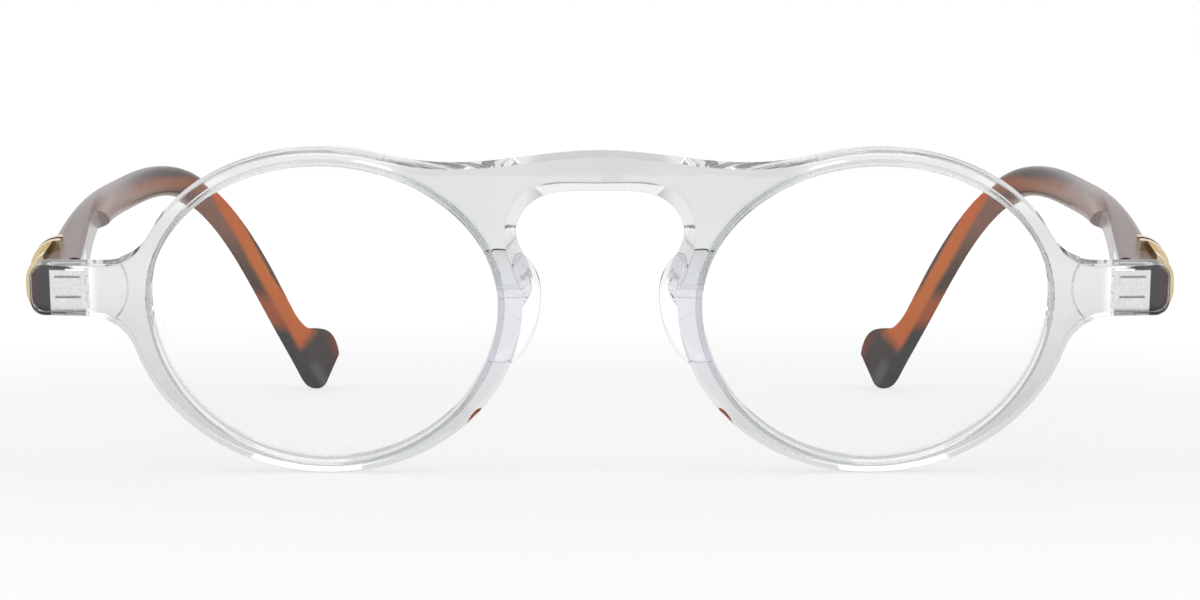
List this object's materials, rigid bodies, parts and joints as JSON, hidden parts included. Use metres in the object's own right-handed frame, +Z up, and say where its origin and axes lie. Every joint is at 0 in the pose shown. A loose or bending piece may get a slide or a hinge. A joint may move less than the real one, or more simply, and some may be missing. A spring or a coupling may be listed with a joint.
{
  "type": "eyeglasses",
  "caption": "Oval full-rim eyeglasses with a clear plastic front, keyhole nose arch, folding tortoise temples with metal corner trims and curved ear tips.",
  "frame": {"origin": "on the table under the middle of the glasses, which rest on the rims and the ear tips with the temples open", "axes": "+Z up, the wearer looks along -Y, and the wearer's left side is +X"},
  "size_m": [0.1444, 0.1512, 0.0409],
  "materials": {
    "clear_acetate": "polished, clear",
    "lens_plastic": "polished, clear",
    "tortoise_acetate": "polished, mottled brown and amber",
    "hinge_steel": "bright",
    "core_wire_metal": "bright",
    "gold_metal": "polished, pale gold"
  },
  "bodies": {
    "front_assembly": {"front": "clear_acetate", "lens_right": "lens_plastic", "lens_left": "lens_plastic", "nose_pad_right": "clear_acetate", "nose_pad_left": "clear_acetate", "front_hinge_leaf_right": "hinge_steel", "front_hinge_leaf_left": "hinge_steel", "hinge_screw_right": "hinge_steel", "hinge_screw_left": "hinge_steel"},
    "right_temple": {"temple_hinge_leaf_right": "hinge_steel", "temple_right": "tortoise_acetate", "temple_core_wire_right": "core_wire_metal", "temple_trim_right": "gold_metal"},
    "left_temple": {"temple_hinge_leaf_left": "hinge_steel", "temple_left": "tortoise_acetate", "temple_core_wire_left": "core_wire_metal", "temple_trim_left": "gold_metal"}
  },
  "joints": [
    {"name": "left_temple_fold", "type": "hinge", "parent": "front_assembly", "child": "left_temple", "pos_m": [0.065, -0.06421, 0.02349], "axis": [0, -0.2173, 0.9761], "range_deg": [0, 84]},
    {"name": "right_temple_fold", "type": "hinge", "parent": "front_assembly", "child": "right_temple", "pos_m": [-0.065, -0.06421, 0.02349], "axis": [0, 0.2173, -0.9761], "range_deg": [0, 79]}
  ]
}
